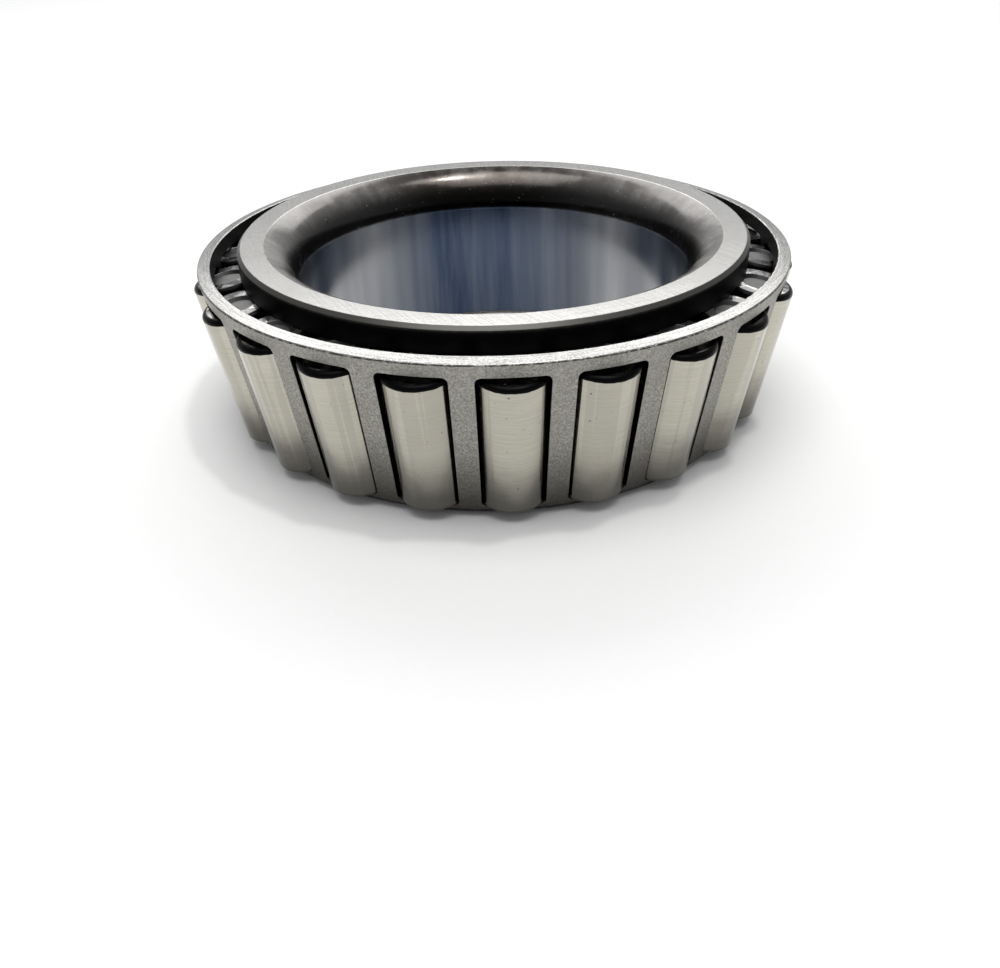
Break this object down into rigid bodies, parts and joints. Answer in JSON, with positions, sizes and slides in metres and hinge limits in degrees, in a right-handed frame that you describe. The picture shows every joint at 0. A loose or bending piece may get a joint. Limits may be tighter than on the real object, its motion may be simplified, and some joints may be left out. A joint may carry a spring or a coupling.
{
  "type": "tapered roller bearing cone assembly",
  "caption": "Tapered roller bearing cone: bored inner ring with two ribs, tapered rollers in a pressed steel window cage, open on the outside to roll in a separate outer ring.",
  "frame": {"origin": "on the bearing axis, in the plane of the inner ring's small end face, which the bearing stands on", "axes": "+Z along the bearing axis towards the large end and its back face; the first roller faces -Y"},
  "size_m": [0.1346, 0.1358, 0.04],
  "materials": {
    "ring_steel": "through-hardened bearing steel: ground back face, ribs, raceway and bore, dark heat-treat oxide left in the large bore corner",
    "cage_steel": "pressed sheet steel, fine matte blasted grain, bright sheared rim and window edges",
    "roller_steel": "ground and polished bearing steel, black heat-treat oxide on the corner radii, grey forged recess in the ends"
  },
  "bodies": {
    "inner_ring": {"inner_ring": "ring_steel"},
    "cage": {"cage": "cage_steel"},
    "roller_01": {"roller_01": "roller_steel"},
    "roller_02": {"roller_02": "roller_steel"},
    "roller_03": {"roller_03": "roller_steel"},
    "roller_04": {"roller_04": "roller_steel"},
    "roller_05": {"roller_05": "roller_steel"},
    "roller_06": {"roller_06": "roller_steel"},
    "roller_07": {"roller_07": "roller_steel"},
    "roller_08": {"roller_08": "roller_steel"},
    "roller_09": {"roller_09": "roller_steel"},
    "roller_10": {"roller_10": "roller_steel"},
    "roller_11": {"roller_11": "roller_steel"},
    "roller_12": {"roller_12": "roller_steel"},
    "roller_13": {"roller_13": "roller_steel"},
    "roller_14": {"roller_14": "roller_steel"},
    "roller_15": {"roller_15": "roller_steel"},
    "roller_16": {"roller_16": "roller_steel"},
    "roller_17": {"roller_17": "roller_steel"},
    "roller_18": {"roller_18": "roller_steel"},
    "roller_19": {"roller_19": "roller_steel"},
    "roller_20": {"roller_20": "roller_steel"},
    "roller_21": {"roller_21": "roller_steel"},
    "roller_22": {"roller_22": "roller_steel"}
  },
  "joints": [
    {"name": "cage_turn", "type": "hinge", "parent": "inner_ring", "child": "cage", "pos_m": [0, 0, 0], "axis": [0, 0, 1], "continuous": true},
    {"name": "roller_01_spin", "type": "hinge", "parent": "cage", "child": "roller_01", "pos_m": [0, -0.05819, 0.01887], "axis": [0, -0.1616, 0.9869], "continuous": true},
    {"name": "roller_02_spin", "type": "hinge", "parent": "cage", "child": "roller_02", "pos_m": [0.0164, -0.05584, 0.01887], "axis": [0.0455, -0.1551, 0.9869], "continuous": true},
    {"name": "roller_03_spin", "type": "hinge", "parent": "cage", "child": "roller_03", "pos_m": [0.03146, -0.04896, 0.01887], "axis": [0.0874, -0.1359, 0.9869], "continuous": true},
    {"name": "roller_04_spin", "type": "hinge", "parent": "cage", "child": "roller_04", "pos_m": [0.04398, -0.03811, 0.01887], "axis": [0.1221, -0.1058, 0.9869], "continuous": true},
    {"name": "roller_05_spin", "type": "hinge", "parent": "cage", "child": "roller_05", "pos_m": [0.05293, -0.02417, 0.01887], "axis": [0.147, -0.0671, 0.9869], "continuous": true},
    {"name": "roller_06_spin", "type": "hinge", "parent": "cage", "child": "roller_06", "pos_m": [0.0576, -0.00828, 0.01887], "axis": [0.16, -0.023, 0.9869], "continuous": true},
    {"name": "roller_07_spin", "type": "hinge", "parent": "cage", "child": "roller_07", "pos_m": [0.0576, 0.00828, 0.01887], "axis": [0.16, 0.023, 0.9869], "continuous": true},
    {"name": "roller_08_spin", "type": "hinge", "parent": "cage", "child": "roller_08", "pos_m": [0.05293, 0.02417, 0.01887], "axis": [0.147, 0.0671, 0.9869], "continuous": true},
    {"name": "roller_09_spin", "type": "hinge", "parent": "cage", "child": "roller_09", "pos_m": [0.04398, 0.03811, 0.01887], "axis": [0.1221, 0.1058, 0.9869], "continuous": true},
    {"name": "roller_10_spin", "type": "hinge", "parent": "cage", "child": "roller_10", "pos_m": [0.03146, 0.04896, 0.01887], "axis": [0.0874, 0.1359, 0.9869], "continuous": true},
    {"name": "roller_11_spin", "type": "hinge", "parent": "cage", "child": "roller_11", "pos_m": [0.0164, 0.05584, 0.01887], "axis": [0.0455, 0.1551, 0.9869], "continuous": true},
    {"name": "roller_12_spin", "type": "hinge", "parent": "cage", "child": "roller_12", "pos_m": [0, 0.05819, 0.01887], "axis": [0, 0.1616, 0.9869], "continuous": true},
    {"name": "roller_13_spin", "type": "hinge", "parent": "cage", "child": "roller_13", "pos_m": [-0.0164, 0.05584, 0.01887], "axis": [-0.0455, 0.1551, 0.9869], "continuous": true},
    {"name": "roller_14_spin", "type": "hinge", "parent": "cage", "child": "roller_14", "pos_m": [-0.03146, 0.04896, 0.01887], "axis": [-0.0874, 0.1359, 0.9869], "continuous": true},
    {"name": "roller_15_spin", "type": "hinge", "parent": "cage", "child": "roller_15", "pos_m": [-0.04398, 0.03811, 0.01887], "axis": [-0.1221, 0.1058, 0.9869], "continuous": true},
    {"name": "roller_16_spin", "type": "hinge", "parent": "cage", "child": "roller_16", "pos_m": [-0.05293, 0.02417, 0.01887], "axis": [-0.147, 0.0671, 0.9869], "continuous": true},
    {"name": "roller_17_spin", "type": "hinge", "parent": "cage", "child": "roller_17", "pos_m": [-0.0576, 0.00828, 0.01887], "axis": [-0.16, 0.023, 0.9869], "continuous": true},
    {"name": "roller_18_spin", "type": "hinge", "parent": "cage", "child": "roller_18", "pos_m": [-0.0576, -0.00828, 0.01887], "axis": [-0.16, -0.023, 0.9869], "continuous": true},
    {"name": "roller_19_spin", "type": "hinge", "parent": "cage", "child": "roller_19", "pos_m": [-0.05293, -0.02417, 0.01887], "axis": [-0.147, -0.0671, 0.9869], "continuous": true},
    {"name": "roller_20_spin", "type": "hinge", "parent": "cage", "child": "roller_20", "pos_m": [-0.04398, -0.03811, 0.01887], "axis": [-0.1221, -0.1058, 0.9869], "continuous": true},
    {"name": "roller_21_spin", "type": "hinge", "parent": "cage", "child": "roller_21", "pos_m": [-0.03146, -0.04896, 0.01887], "axis": [-0.0874, -0.1359, 0.9869], "continuous": true},
    {"name": "roller_22_spin", "type": "hinge", "parent": "cage", "child": "roller_22", "pos_m": [-0.0164, -0.05584, 0.01887], "axis": [-0.0455, -0.1551, 0.9869], "continuous": true}
  ],
  "couplings": [
    {"joint": "roller_01_spin", "follows": "cage_turn", "ratio": 6.9941},
    {"joint": "roller_02_spin", "follows": "cage_turn", "ratio": 6.9941},
    {"joint": "roller_03_spin", "follows": "cage_turn", "ratio": 6.9941},
    {"joint": "roller_04_spin", "follows": "cage_turn", "ratio": 6.9941},
    {"joint": "roller_05_spin", "follows": "cage_turn", "ratio": 6.9941},
    {"joint": "roller_06_spin", "follows": "cage_turn", "ratio": 6.9941},
    {"joint": "roller_07_spin", "follows": "cage_turn", "ratio": 6.9941},
    {"joint": "roller_08_spin", "follows": "cage_turn", "ratio": 6.9941},
    {"joint": "roller_09_spin", "follows": "cage_turn", "ratio": 6.9941},
    {"joint": "roller_10_spin", "follows": "cage_turn", "ratio": 6.9941},
    {"joint": "roller_11_spin", "follows": "cage_turn", "ratio": 6.9941},
    {"joint": "roller_12_spin", "follows": "cage_turn", "ratio": 6.9941},
    {"joint": "roller_13_spin", "follows": "cage_turn", "ratio": 6.9941},
    {"joint": "roller_14_spin", "follows": "cage_turn", "ratio": 6.9941},
    {"joint": "roller_15_spin", "follows": "cage_turn", "ratio": 6.9941},
    {"joint": "roller_16_spin", "follows": "cage_turn", "ratio": 6.9941},
    {"joint": "roller_17_spin", "follows": "cage_turn", "ratio": 6.9941},
    {"joint": "roller_18_spin", "follows": "cage_turn", "ratio": 6.9941},
    {"joint": "roller_19_spin", "follows": "cage_turn", "ratio": 6.9941},
    {"joint": "roller_20_spin", "follows": "cage_turn", "ratio": 6.9941},
    {"joint": "roller_21_spin", "follows": "cage_turn", "ratio": 6.9941},
    {"joint": "roller_22_spin", "follows": "cage_turn", "ratio": 6.9941}
  ]
}
